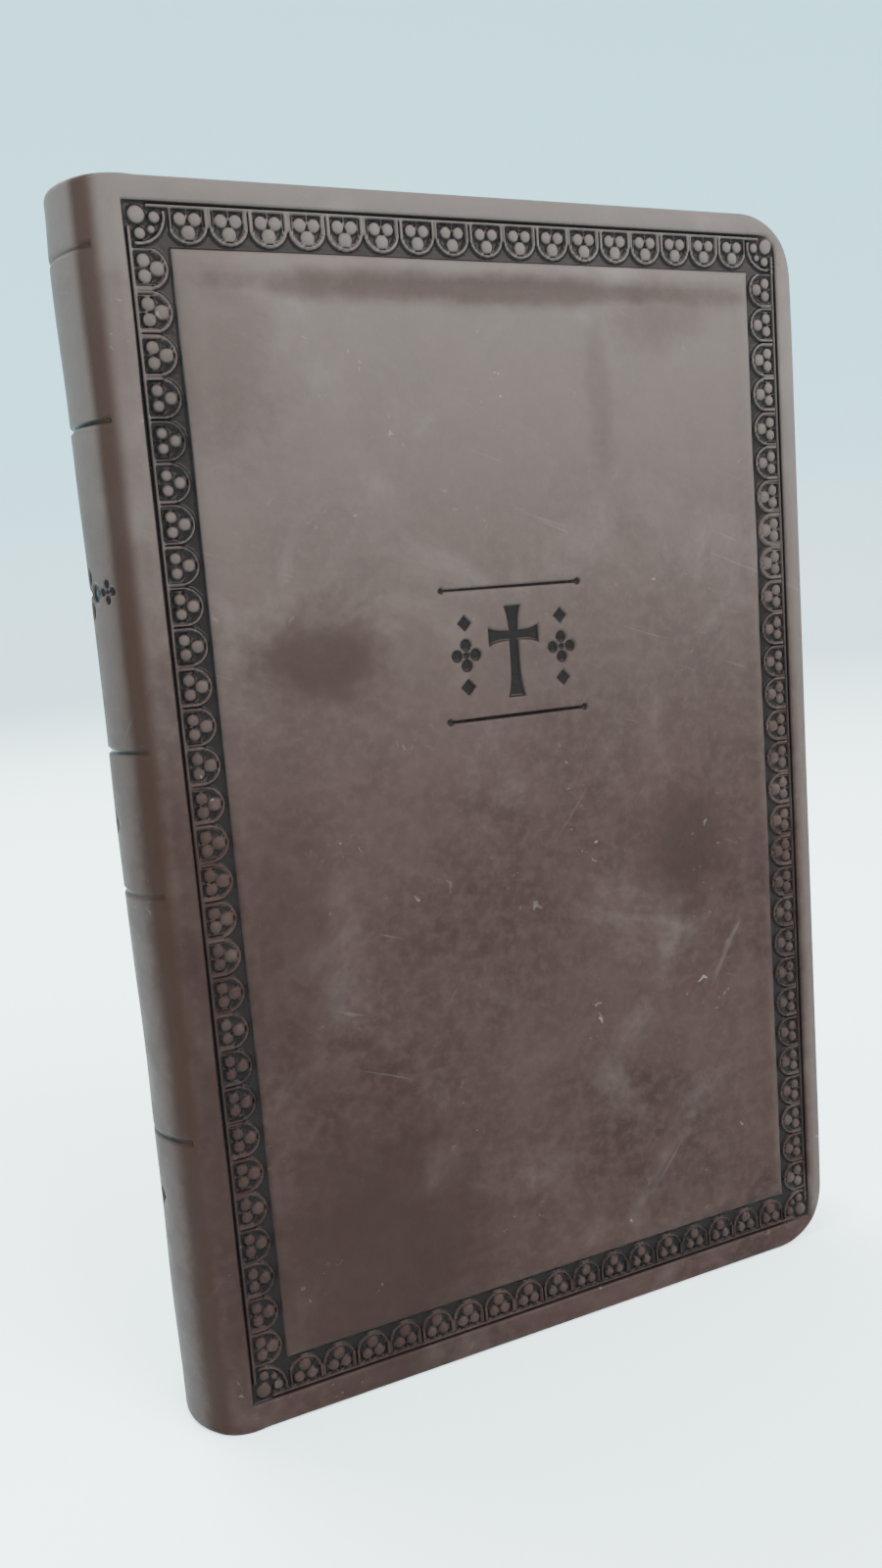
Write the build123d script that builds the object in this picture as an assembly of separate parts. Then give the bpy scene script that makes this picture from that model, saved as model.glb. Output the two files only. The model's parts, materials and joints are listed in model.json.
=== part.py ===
from build123d import *
import math
import os

# A limp-covered bible, closed and standing upright. Millimetres, +Z up.
# The spine is at -X, the front cover faces -Y, and the origin is under the middle of the closed book.
# The book is cut into rigid pieces along the lines where it flexes: the two cover joints,
# and one opening in the middle of the block, which also cuts the spine from head to tail.

# Closed book
HEIGHT = 215.0
WIDTH = 140.5
THICKNESS = 25.0

# Covers
LEATHER = 1.1
BOARD = 0.7
ENDPAPER = 0.2
COVER = LEATHER + BOARD + ENDPAPER
COVER_CORNER = 12.0
COVER_EDGE_ROUND = 0.6
TURN_IN = 3.0
JOINT_STRIP = 4.0

# Spine
SPINE_RADIUS = 14.7
SHOULDER_RADIUS = 8.0
SPINE_CARD = 0.6
HOLLOW = 0.2
MULL = 0.3
MULL_END = 10.0
GLUE = 0.05
SPINE_CARD_HALF_WIDTH = 9.0

# Leaves
SQUARE = 3.5
GATHERINGS_PER_HALF = 11
FLYLEAF_START = 4.0
BAND_DIAMETER = 1.5

# Gaps between pieces that move apart
LEATHER_GAP = 0.1
LEAF_GAP = 0.2

SPINE_X = -WIDTH / 2
FORE_X = WIDTH / 2
OUTER_Y = THICKNESS / 2
INNER_Y = OUTER_Y - COVER
HINGE_X = SPINE_X + 9.75
SPINE_CENTRE_X = SPINE_X + SPINE_RADIUS

LEAF_LOW = SQUARE
LEAF_HIGH = HEIGHT - SQUARE
LEAF_FORE_X = FORE_X - SQUARE
LEAF_CORNER = COVER_CORNER - SQUARE

FLYLEAF_Y = INNER_Y - LEAF_GAP - ENDPAPER
BLOCK_OUTER_Y = FLYLEAF_Y - LEAF_GAP
BLOCK_INNER_Y = ENDPAPER / 2 + LEAF_GAP
GATHERING = (BLOCK_OUTER_Y - BLOCK_INNER_Y) / GATHERINGS_PER_HALF
MULL_INNER_RADIUS = SPINE_RADIUS - LEATHER - SPINE_CARD - HOLLOW - MULL
FOLD_CENTRE_RADIUS = MULL_INNER_RADIUS - GLUE - GATHERING / 2


def fold_x(y):
    """Where a gathering's folded back has its centre, on the rounded back of the block."""
    return SPINE_CENTRE_X - math.sqrt(FOLD_CENTRE_RADIUS**2 - y**2)


# All leaves are one width, so the hollow of the fore-edge repeats the round of the back.
LEAF_WIDTH = LEAF_FORE_X - fold_x(BLOCK_OUTER_Y - GATHERING / 2)


def sheet(x_spine, x_fore, z_low, z_high, y_low, y_high, corner):
    """An upright flat sheet with its two fore-edge corners rounded."""
    size = (x_fore - x_spine, y_high - y_low, z_high - z_low)
    middle = ((x_spine + x_fore) / 2, (y_low + y_high) / 2, (z_low + z_high) / 2)
    blank = Pos(*middle) * Box(*size)
    corners = blank.edges().filter_by(Axis.Y).group_by(Axis.X)[-1]
    return fillet(corners, corner)


def depth_strip(y_low, y_high, x_end):
    """Section seen from above of all that lies between two depths, on the spine side of x_end."""
    width = x_end - SPINE_X + 1
    return Pos(x_end - width / 2, (y_low + y_high) / 2) * Rectangle(width, y_high - y_low)


def spine_outline(inset):
    """Section through the spine, inset from the outside of the leather."""
    half = OUTER_Y - inset
    disc = Pos(SPINE_CENTRE_X, 0) * Circle(SPINE_RADIUS - inset)
    outline = disc & depth_strip(-half, half, HINGE_X)
    shoulders = outline.vertices().filter_by(lambda v: v.X < HINGE_X - 0.5)
    return fillet(shoulders, SHOULDER_RADIUS - inset)


def spine_ring(inset, thickness, y_low, y_high):
    """Section through an even layer of the rounded back, between two depths."""
    centre = Pos(SPINE_CENTRE_X, 0)
    ring = centre * Circle(SPINE_RADIUS - inset) - centre * Circle(SPINE_RADIUS - inset - thickness)
    return ring & depth_strip(y_low, y_high, SPINE_CENTRE_X)


def spine_leather():
    """Half of the leather spine, from the joint of the back cover to the middle of the back."""
    skin = spine_outline(0) - spine_outline(LEATHER)
    half = skin & depth_strip(LEATHER_GAP, OUTER_Y, HINGE_X - LEATHER_GAP)
    return extrude(half, HEIGHT)


def spine_card():
    """Half of the card strip behind the leather."""
    section = spine_ring(LEATHER, SPINE_CARD, BLOCK_INNER_Y, SPINE_CARD_HALF_WIDTH)
    return Pos(0, 0, TURN_IN) * extrude(section, HEIGHT - 2 * TURN_IN)


def spine_mull():
    """Half of the cloth lining that holds the backs of the gatherings."""
    section = spine_ring(LEATHER + SPINE_CARD + HOLLOW, MULL, BLOCK_INNER_Y, BLOCK_OUTER_Y)
    length = LEAF_HIGH - LEAF_LOW - 2 * MULL_END
    return Pos(0, 0, LEAF_LOW + MULL_END) * extrude(section, length)


def band(z):
    """Half of a head or tail band: a bead that follows the rounded back of the block."""
    radius = MULL_INNER_RADIUS - BAND_DIAMETER / 2
    first = math.degrees(math.asin(BLOCK_INNER_Y / radius)) + 1
    last = math.degrees(math.asin((BLOCK_OUTER_Y - BAND_DIAMETER / 2) / radius))
    bead = Plane.XZ * Pos(SPINE_CENTRE_X - radius, z) * Circle(BAND_DIAMETER / 2)
    axis = Axis((SPINE_CENTRE_X, 0, 0), (0, 0, -1))
    turned = revolve(bead, axis, last - first)
    return turned.rotate(axis, first)


def gathering(index):
    """One folded section of leaves, counted outwards from the middle of the block."""
    y = BLOCK_INNER_Y + (index + 0.5) * GATHERING
    back = fold_x(y)
    leaves = Pos(back + LEAF_WIDTH / 2, y) * Rectangle(LEAF_WIDTH, GATHERING)
    fold = Pos(back, y) * Circle(GATHERING / 2)
    block = Pos(0, 0, LEAF_LOW) * extrude(leaves + fold, LEAF_HIGH - LEAF_LOW)
    corners = block.edges().filter_by(Axis.Y).group_by(Axis.X)[-1]
    return fillet(corners, LEAF_CORNER)


def cover_leather():
    """Cover skin with its turned-in rim, which leaves a pocket for the board and the pastedown."""
    blank = sheet(HINGE_X + LEATHER_GAP, FORE_X, 0, HEIGHT, INNER_Y, OUTER_Y, COVER_CORNER)
    outside = blank.faces().sort_by(Axis.Y)[-1]
    rim_edges = outside.edges().filter_by(lambda e: e.center().X > HINGE_X + 1)
    blank = fillet(rim_edges, COVER_EDGE_ROUND)
    pocket = sheet(
        HINGE_X - 1,
        FORE_X - TURN_IN,
        TURN_IN,
        HEIGHT - TURN_IN,
        INNER_Y - 1,
        OUTER_Y - LEATHER,
        COVER_CORNER - TURN_IN,
    )
    return blank - pocket


def lining(y_low, y_high):
    """A sheet that fills the cover's pocket between two depths."""
    return sheet(
        HINGE_X + JOINT_STRIP,
        FORE_X - TURN_IN,
        TURN_IN,
        HEIGHT - TURN_IN,
        y_low,
        y_high,
        COVER_CORNER - TURN_IN,
    )


def flyleaf():
    """Free endpaper leaf between the cover and the block."""
    return sheet(
        HINGE_X + FLYLEAF_START,
        LEAF_FORE_X,
        LEAF_LOW,
        LEAF_HIGH,
        FLYLEAF_Y,
        FLYLEAF_Y + ENDPAPER,
        LEAF_CORNER,
    )


def centre_leaf():
    """The leaf that stands up in the middle when the block is opened."""
    back = fold_x(0)
    half = ENDPAPER / 2
    return sheet(back, back + LEAF_WIDTH, LEAF_LOW, LEAF_HIGH, -half, half, LEAF_CORNER)


def back_pieces():
    """Every piece of the back half of the book, as name and solid."""
    pieces = {
        "cover_leather": cover_leather(),
        "board": lining(INNER_Y + ENDPAPER, OUTER_Y - LEATHER),
        "pastedown": lining(INNER_Y, INNER_Y + ENDPAPER),
        "flyleaf": flyleaf(),
        "spine_leather": spine_leather(),
        "spine_card": spine_card(),
        "spine_mull": spine_mull(),
        "headband": band(LEAF_HIGH + BAND_DIAMETER / 2),
        "tailband": band(LEAF_LOW - BAND_DIAMETER / 2),
    }
    for index in range(GATHERINGS_PER_HALF):
        pieces[f"gathering_{index + 1:02d}"] = gathering(index)
    return pieces


os.makedirs("parts", exist_ok=True)
for name, solid in back_pieces().items():
    export_step(solid, f"parts/back_{name}.step")
    export_step(mirror(solid, about=Plane.XZ), f"parts/front_{name}.step")
export_step(centre_leaf(), "parts/centre_leaf.step")
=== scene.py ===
import json
import math

import bpy
import numpy as np
from mathutils import Matrix, Vector

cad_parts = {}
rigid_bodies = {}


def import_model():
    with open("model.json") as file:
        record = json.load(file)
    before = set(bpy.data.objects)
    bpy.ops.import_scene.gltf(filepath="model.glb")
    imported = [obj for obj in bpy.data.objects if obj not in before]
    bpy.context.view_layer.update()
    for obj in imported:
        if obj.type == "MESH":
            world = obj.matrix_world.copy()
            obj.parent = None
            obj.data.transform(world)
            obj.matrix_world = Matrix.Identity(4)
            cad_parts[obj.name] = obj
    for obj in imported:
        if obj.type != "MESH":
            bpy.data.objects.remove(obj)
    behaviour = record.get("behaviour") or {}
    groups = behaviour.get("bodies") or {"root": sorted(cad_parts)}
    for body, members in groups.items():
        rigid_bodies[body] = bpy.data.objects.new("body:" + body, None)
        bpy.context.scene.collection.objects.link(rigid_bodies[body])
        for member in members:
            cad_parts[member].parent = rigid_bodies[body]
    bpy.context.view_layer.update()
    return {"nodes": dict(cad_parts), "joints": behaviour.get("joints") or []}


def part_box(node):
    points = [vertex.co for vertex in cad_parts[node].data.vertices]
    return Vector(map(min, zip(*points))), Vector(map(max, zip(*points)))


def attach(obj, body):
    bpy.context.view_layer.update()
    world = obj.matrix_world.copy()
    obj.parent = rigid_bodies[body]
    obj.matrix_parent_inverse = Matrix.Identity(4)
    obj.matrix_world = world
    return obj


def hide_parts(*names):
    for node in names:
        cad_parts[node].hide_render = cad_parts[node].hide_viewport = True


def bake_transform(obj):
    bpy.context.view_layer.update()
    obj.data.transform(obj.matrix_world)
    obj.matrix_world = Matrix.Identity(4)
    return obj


# Looks of a limp-covered bible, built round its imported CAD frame.
# Lengths are in millimetres up to the point where a mesh is made, and MM turns them into metres.
# The leather is one skin. "Girth" is the distance along it from the middle of the spine: negative over
# the front, positive over the back.

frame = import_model()

MM = 0.001


# ---------------------------------------------------------------------------------------------
# Places, read from the frame


def box_mm(node):
    """Lowest and highest corner of a CAD node, in millimetres."""
    low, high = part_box(node)
    return np.array(low) / MM, np.array(high) / MM


def joint_place(name):
    """Where a joint's axis stands, in millimetres."""
    joint = next(j for j in frame["joints"] if j["name"] == name)
    return np.array(joint["pos_m"]) / MM


def metres(x, y, z):
    """A place in metres, from millimetres."""
    return (x * MM, y * MM, z * MM)


cover_low, cover_high = box_mm("back_cover_leather")
spine_low = box_mm("back_spine_leather")[0]
pastedown_low, pastedown_high = box_mm("back_pastedown")
leaf_low, leaf_high = box_mm("centre_leaf")
flyleaf_low, flyleaf_high = box_mm("back_flyleaf")
band_low, band_high = box_mm("back_headband")
tail_band_low, tail_band_high = box_mm("back_tailband")
mull_low, mull_high = box_mm("back_spine_mull")
card_low, card_high = box_mm("back_spine_card")

HEIGHT = cover_high[2]
SPINE_X = spine_low[0]
FORE_X = cover_high[0]
OUTER_Y = cover_high[1]
INNER_Y = cover_low[1]
HINGE_X = joint_place("back_cover_hinge")[0]

# The leather's own sizes, the same as in the CAD model
LEATHER = 1.1
COVER = OUTER_Y - INNER_Y
CORNER = 12.0
SPINE_RADIUS = 14.7
SHOULDER_RADIUS = 8.0
TURN_IN = FORE_X - pastedown_high[0]

SPINE_CENTRE_X = SPINE_X + SPINE_RADIUS
SHOULDER_Y = OUTER_Y - SHOULDER_RADIUS
SHOULDER_ANGLE = math.asin(SHOULDER_Y / (SPINE_RADIUS - SHOULDER_RADIUS))
SHOULDER_X = SPINE_CENTRE_X - (SPINE_RADIUS - SHOULDER_RADIUS) * math.cos(SHOULDER_ANGLE)
ROUND_GIRTH = SPINE_RADIUS * SHOULDER_ANGLE
FLAT_GIRTH = ROUND_GIRTH + SHOULDER_RADIUS * (math.pi / 2 - SHOULDER_ANGLE)
FULL_GIRTH = FLAT_GIRTH + FORE_X - SHOULDER_X

# Tooled border of the covers: the margins outside it, its width, and its scallops
HEAD_MARGIN = 4.0
TAIL_MARGIN = 5.3
FORE_MARGIN = 4.3
BORDER = 7.2
PANEL_LEFT = HINGE_X + BORDER
PANEL_RIGHT = FORE_X - FORE_MARGIN - BORDER
PANEL_LOW = TAIL_MARGIN + BORDER
PANEL_HIGH = HEIGHT - HEAD_MARGIN - BORDER
SHELLS_ACROSS = 17
SHELLS_UP = 29
FIRST_SHELL = 2.94
GROUND_DEPTH = 0.75
LINE_HALF = 0.34
THIN_LINE_HALF = 0.2

# Title block on the front cover: its place, its rules and how deep it is pressed
TITLE_RISE = 0.6425
TITLE_X = (PANEL_LEFT + PANEL_RIGHT) / 2
TITLE_Z = PANEL_LOW + TITLE_RISE * (PANEL_HIGH - PANEL_LOW)
TITLE_DEPTH = 0.6
RULE_GAP = 23.7
RULE_HALF = 14.1

# Tooling on the spine, as heights above the tail
SPINE_RULES = (204.6, 178.1, 124.6, 100.0, 56.0)
SPINE_RULE_HALF = 11.9
SPINE_FLORET_Z = 151.3
SPINE_DIAMONDS = (112.3, 43.8)
SPINE_DEPTH = 0.5
PRESSED_WALL = 0.5

# Handling stains on the front cover, and one band of painted shade under the panel's top edge: place
# from the middle of the book and above its tail,
# half width, half height, strength
STAINS_AND_SHADE_BAND = (
    (-35.0, 137.0, 10.5, 8.5, 0.7),
    (39.0, 92.0, 10.0, 10.5, 0.7),
    (24.0, 184.0, 2.4, 18.0, 0.24),
    (36.5, 196.0, 11.0, 6.0, 0.35),
    (-46.0, 84.0, 9.0, 34.0, 0.4),
    (-34.0, 26.0, 22.0, 28.0, 0.8),
    # Painted shade: a long thin dark band just inside the panel's top edge, where its rim slopes away
    # from the light
    (3.0, 199.2, 56.0, 2.6, 0.64),
    (-50.0, 190.0, 13.0, 17.0, 0.35),
    (-60.0, 62.0, 4.5, 70.0, 0.7),
)

# The leather's mesh: coarse cell, fine cells along its side, half-round edge, and the girth
# where it is cut into pieces
CELL = 1.25
FINE = 5
EDGE_ROUND = 1.0
RIM_STEPS = 8
SEAM_GIRTH = 10.8

# Linings and leaves
CARD_THICKNESS = 0.56
MULL_THICKNESS = 0.28
LEAVES_IN_GATHERING = 22
ENDPAPER_THICKNESS = 0.12
LEAF_CORNER = CORNER - (FORE_X - flyleaf_high[0])


# ---------------------------------------------------------------------------------------------
# Shape of the leather


def smooth(value, start, end):
    """0 before start, 1 after end, and a smooth step between them."""
    t = np.clip((value - start) / (end - start), 0, 1)
    return t * t * (3 - 2 * t)


def skin_points(girth, height, depth):
    """Points of the leather in space, depth below its outer surface."""
    side = np.where(girth < 0, -1.0, 1.0)
    along = np.abs(girth)
    on_round = along < ROUND_GIRTH
    angle = np.where(
        on_round,
        along / SPINE_RADIUS,
        SHOULDER_ANGLE + (along - ROUND_GIRTH) / SHOULDER_RADIUS,
    )
    angle = np.minimum(angle, math.pi / 2)
    radius = np.where(on_round, SPINE_RADIUS, SHOULDER_RADIUS) - depth
    centre_x = np.where(on_round, SPINE_CENTRE_X, SHOULDER_X)
    centre_y = np.where(on_round, 0.0, SHOULDER_Y)
    x = centre_x - radius * np.cos(angle) + np.maximum(along - FLAT_GIRTH, 0)
    y = centre_y + radius * np.sin(angle)
    return np.stack([x, side * y, height], axis=-1)


def dome(distance, radius):
    """Height of a round bead, 1 at its middle."""
    return np.sqrt(np.clip(1 - (distance / radius) ** 2, 0, 1))


def wire(distance, half_width):
    """Height of a raised line, 1 along its middle."""
    return np.clip(1 - (distance / half_width) ** 2, 0, 1)


def shell_motif(along, out):
    """One scallop of the border: a double arc open to the outside, which holds three beads."""
    centre, top = 4.1, 6.2
    from_centre = np.hypot(along, np.minimum(out - centre, 0))
    arc = 0.85 * wire(from_centre - 3.0, LINE_HALF)
    inner_arc = 0.5 * wire(from_centre - 2.52, THIN_LINE_HALF)
    arcs = np.where(out < top, np.maximum(arc, inner_arc), 0)
    bead = dome(np.hypot(along, out - 2.65), 1.3)
    bead_pair = dome(np.hypot(np.abs(along) - 1.2, out - 4.72), 1.16)
    stem = 0.6 * wire(along, THIN_LINE_HALF) * smooth(out, 4.6, 5.2) * (out < top)
    return np.maximum.reduce([arcs, bead, bead_pair, stem])


def corner_motif(across, up):
    """The border's corner: a large bead, a quarter ring round it and three small beads."""
    centre, ring_end = 5.1, 5.8
    from_main = np.hypot(across - centre, up - centre)
    main = dome(from_main, 1.55)
    ring = 0.85 * wire(from_main - 4.3, LINE_HALF) * ((across < ring_end) & (up < ring_end))
    small = dome(np.hypot(across - 2.3, up - 4.8), 1.0)
    small = np.maximum(small, dome(np.hypot(across - 4.8, up - 2.3), 1.0))
    middle = 0.85 * dome(np.hypot(across - 2.95, up - 2.95), 0.75)
    return np.maximum.reduce([main, ring, small, middle])


def border_out(cover_x, z):
    """Distance out of the raised panel, across and up, negative inside it."""
    across = np.maximum(PANEL_LEFT - cover_x, cover_x - PANEL_RIGHT)
    up = np.maximum(PANEL_LOW - z, z - PANEL_HIGH)
    return across, up


def repeat(place, low, high, count):
    """Offset from the middle of the nearest of count motifs between two ends."""
    pitch = (high - low - 2 * FIRST_SHELL) / (count - 1)
    number = np.clip(np.round((place - low - FIRST_SHELL) / pitch), 0, count - 1)
    return place - low - FIRST_SHELL - number * pitch


def border_relief(cover_x, z):
    """Height of the tooled border and of the panel's soft rim inside it."""
    across, up = border_out(cover_x, z)
    out = np.maximum(across, up)
    on_side = across > up
    side_shell = shell_motif(repeat(z, PANEL_LOW, PANEL_HIGH, SHELLS_UP), out)
    end_shell = shell_motif(repeat(cover_x, PANEL_LEFT, PANEL_RIGHT, SHELLS_ACROSS), out)
    motif = np.where(on_side, side_shell, end_shell)
    motif = np.where((across > 0) & (up > 0), corner_motif(across, up), motif)
    rail_place, corner_start = 6.5, 3.4
    rail = 0.9 * wire(out - rail_place, LINE_HALF) * (np.minimum(across, up) < corner_start)
    motif = np.maximum(motif, rail)
    inside = smooth(out, 0.0, 0.35) * smooth(-out, -BORDER - 0.1, -BORDER + 0.15)
    strip = inside * GROUND_DEPTH * (motif - 1)
    groove = -0.5 * wire(out - BORDER + 0.05, 0.32)
    inward = np.maximum(-out, 0)
    rim_height, rim_place, rim_width = 0.34, 1.9, 1.3
    rim = rim_height * np.exp(-(((inward - rim_place) / rim_width) ** 2)) * (out < 0)
    drop, drop_width = 0.18, 0.5
    round_over = -drop * np.clip(1 - inward / drop_width, 0, 1) ** 2 * (out < 0)
    return np.minimum(strip, groove) + rim + round_over


def floret(x, z, size):
    """Distance outside a four-petalled floret of that size."""
    petal = 0.36 * size
    reach = 0.60 * size
    on_x = np.hypot(np.abs(x) - reach, z) - petal
    on_z = np.hypot(x, np.abs(z) - reach) - petal
    return np.minimum(np.minimum(on_x, on_z), np.hypot(x, z) - 0.2 * size)


def bar(along, across, half_length, half_width, flare):
    """Distance outside a straight bar that widens towards its ends."""
    width = half_width + flare * np.clip(np.abs(along) / half_length, 0, 1) ** 4
    return np.maximum(np.abs(along) - half_length, np.abs(across) - width)


def title_distance(cover_x, z):
    """Distance outside the title block: two rules with dots, and a cross between two florets."""
    x = cover_x - TITLE_X
    up = z - TITLE_Z
    rule = bar(x, np.abs(up) - RULE_GAP / 2, RULE_HALF, 0.26, 0.0)
    dots = np.hypot(np.abs(x) - RULE_HALF, np.abs(up) - RULE_GAP / 2) - 0.62
    limb_half, flare, arms_rise = 0.95, 0.85, 2.9
    upright = bar(up, x, 8.4, limb_half, flare)
    arms = bar(x, up - arms_rise, 5.2, limb_half, flare)
    beside = np.abs(x) - 9.9
    flowers = floret(beside, up, 3.1)
    diamonds = np.abs(beside) + np.abs(np.abs(up) - 5.8) - 1.5
    return np.minimum.reduce([rule, dots, upright, arms, flowers, diamonds])


def spine_distance(girth, z):
    """Distance outside the spine's tooling: rules, a floret between two small ones, and diamonds."""
    marks = [bar(girth, z - rule, SPINE_RULE_HALF, 0.46, 0.0) for rule in SPINE_RULES]
    marks += [np.abs(girth) + np.abs(z - centre) - 2.2 for centre in SPINE_DIAMONDS]
    large = floret(girth, z - SPINE_FLORET_Z, 4.6)
    small = floret(np.abs(girth) - 6.6, z - SPINE_FLORET_Z, 2.2)
    return np.minimum.reduce([*marks, large, small])


def pressed(distance, depth, slope):
    """Height of a shape pressed into the leather with soft walls."""
    return -depth * smooth(-distance, -slope / 2, slope / 2)


def undulation(girth, z):
    """The limp cover's slow unevenness: waves of several lengths in all directions."""
    count, shortest, longest, amplitude = 14, 22, 90, 0.03
    waves = np.zeros_like(girth)
    rng = np.random.default_rng(4)
    for _ in range(count):
        length = rng.uniform(shortest, longest)
        turn = rng.uniform(0, math.pi)
        phase = rng.uniform(0, 2 * math.pi)
        travel = girth * math.cos(turn) + z * math.sin(turn)
        waves += np.sin(2 * math.pi * travel / length + phase)
    return amplitude * waves


def outline_distance(cover_x, z):
    """Distance in from the leather's own outline, with its rounded fore-edge corners."""
    up = np.abs(z - HEIGHT / 2)
    across = cover_x - (FORE_X - CORNER)
    rise = up - (HEIGHT / 2 - CORNER)
    straight = np.minimum(HEIGHT / 2 - up, FORE_X - cover_x)
    return np.where((across > 0) & (rise > 0), CORNER - np.hypot(across, rise), straight)


def skin_height(girth, z, titled):
    """Height of the leather's surface above its plain shape."""
    cover_x = SHOULDER_X + np.abs(girth) - FLAT_GIRTH
    from_edge = outline_distance(cover_x, z)
    height = border_relief(cover_x, z) * smooth(from_edge, 0.8, 3.6)
    if titled:
        title = pressed(title_distance(cover_x, z), TITLE_DEPTH, PRESSED_WALL)
        height = height + title * (girth < 0)
    height = height + pressed(spine_distance(girth, z), SPINE_DEPTH, PRESSED_WALL)
    return height + undulation(girth, z) * smooth(from_edge, 1.0, 9.0)


def cover_curl(girth, z):
    """How far the unsupported edge of the cover falls towards the leaves."""
    cover_x = SHOULDER_X + np.abs(girth) - FLAT_GIRTH
    width, fall, more_at_corners = 4.2, 0.55, 0.5
    fore = np.clip((cover_x - (FORE_X - width)) / width, 0, 1) ** 2
    end = np.abs(z - HEIGHT / 2) / (HEIGHT / 2)
    return fore * (fall + more_at_corners * smooth(end, 0.75, 1.0))


def cover_thickness(girth, z):
    """Thickness of the skin: full at the turned-in rim, thin at the joint and in the board's pocket."""
    cover_x = SHOULDER_X + np.abs(girth) - FLAT_GIRTH
    edge = outline_distance(cover_x, z)
    thickens, board_start = HINGE_X + 0.6, HINGE_X + 2.6
    rim = LEATHER + (COVER - LEATHER) * smooth(cover_x, thickens, board_start)
    pocket = smooth(edge, TURN_IN, TURN_IN + 0.4) * smooth(cover_x, board_start, board_start + 0.8)
    return rim - (rim - LEATHER) * pocket


# ---------------------------------------------------------------------------------------------
# Meshes


def make_object(name, points_mm, faces, materials):
    """A smooth-shaded mesh object from points in millimetres."""
    mesh = bpy.data.meshes.new(name)
    mesh.from_pydata((np.asarray(points_mm) * MM).tolist(), [], faces)
    mesh.update()
    mesh.shade_smooth()
    for material in materials:
        mesh.materials.append(material)
    obj = bpy.data.objects.new(name, mesh)
    bpy.context.scene.collection.objects.link(obj)
    return obj


def set_uv(obj, coordinates):
    """Stores a pair of material coordinates, one pair for each vertex."""
    mesh = obj.data
    corners = np.empty(len(mesh.loops), int)
    mesh.loops.foreach_get("vertex_index", corners)
    layer = mesh.uv_layers.new(name="skin")
    layer.data.foreach_set("uv", coordinates[corners].astype(np.float32).ravel())


def set_value(obj, name, values):
    """Stores one number for each vertex."""
    attribute = obj.data.attributes.new(name, "FLOAT", "POINT")
    attribute.data.foreach_set("value", np.asarray(values, np.float32))


def sharpen(obj, degrees):
    """Keeps edges crisp where faces meet at more than this angle."""
    obj.data.set_sharp_from_angle(angle=math.radians(degrees))


def tube_faces(rings, count):
    """Faces between rings of points that are each closed on themselves, and the two end faces."""
    index = np.arange(rings * count).reshape(rings, count)
    beside = np.roll(index, -1, axis=1)
    quads = np.stack([index[:-1], index[1:], beside[1:], beside[:-1]], axis=-1)
    return quads.reshape(-1, 4).tolist(), [index[0].tolist(), index[-1][::-1].tolist()]


def layer_faces(columns, rows):
    """Faces of a thin closed layer, made of two grids of points: its two sides, and its edge."""
    count = columns * rows
    index = np.arange(count).reshape(columns, rows)
    quads = np.stack([index[:-1, :-1], index[:-1, 1:], index[1:, 1:], index[1:, :-1]], axis=-1)
    side = quads.reshape(-1, 4).tolist()
    ring = [*index[:, 0], *index[-1, 1:], *index[-2::-1, -1], *index[0, -2:0:-1]]
    ring = [int(corner) for corner in ring]
    edge = [[a, b, b + count, a + count] for a, b in zip(ring, ring[1:] + ring[:1])]
    return side + flipped(side, count), edge


def flipped(faces, offset=0):
    """The same faces seen from their other side, with their corners counted from offset."""
    return [[corner + offset for corner in reversed(face)] for face in faces]


class Lattice:
    """A grid of coarse cells in which some cells are divided finely, with no cracks between them."""

    def __init__(self, fine_cells):
        self.columns, self.rows = fine_cells.shape
        used = np.zeros((self.columns * FINE + 1, self.rows * FINE + 1), bool)
        used[::FINE, ::FINE] = True
        for column, row in np.argwhere(fine_cells):
            i, j = column * FINE, row * FINE
            used[i : i + FINE + 1, j : j + FINE + 1] = True
        self.ids = np.full(used.shape, -1)
        self.ids[used] = np.arange(used.sum())
        self.places = np.argwhere(used)
        self.faces = self._fine_faces(fine_cells) + self._coarse_faces(fine_cells)

    def _fine_faces(self, fine_cells):
        steps_i, steps_j = np.meshgrid(np.arange(FINE), np.arange(FINE), indexing="ij")
        cells = np.argwhere(fine_cells) * FINE
        i = cells[:, 0, None, None] + steps_i
        j = cells[:, 1, None, None] + steps_j
        ids = self.ids
        quads = np.stack([ids[i, j], ids[i + 1, j], ids[i + 1, j + 1], ids[i, j + 1]], axis=-1)
        return quads.reshape(-1, 4).tolist()

    def _coarse_faces(self, fine_cells):
        faces = []
        for column, row in np.argwhere(~fine_cells):
            i, j = column * FINE, row * FINE
            ring = [(i + k, j) for k in range(FINE)]
            ring += [(i + FINE, j + k) for k in range(FINE)]
            ring += [(i + FINE - k, j + FINE) for k in range(FINE)]
            ring += [(i, j + FINE - k) for k in range(FINE)]
            corners = [int(self.ids[place]) for place in ring]
            faces.append([corner for corner in corners if corner >= 0])
        return faces

    def outline(self):
        """The lattice's places round its edge, in order."""
        last_i, last_j = self.columns * FINE, self.rows * FINE
        ring = [(k, 0) for k in range(last_i)]
        ring += [(last_i, k) for k in range(last_j)]
        ring += [(last_i - k, last_j) for k in range(last_i)]
        ring += [(0, last_j - k) for k in range(last_j)]
        return [place for place in ring if self.ids[place] >= 0]


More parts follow.
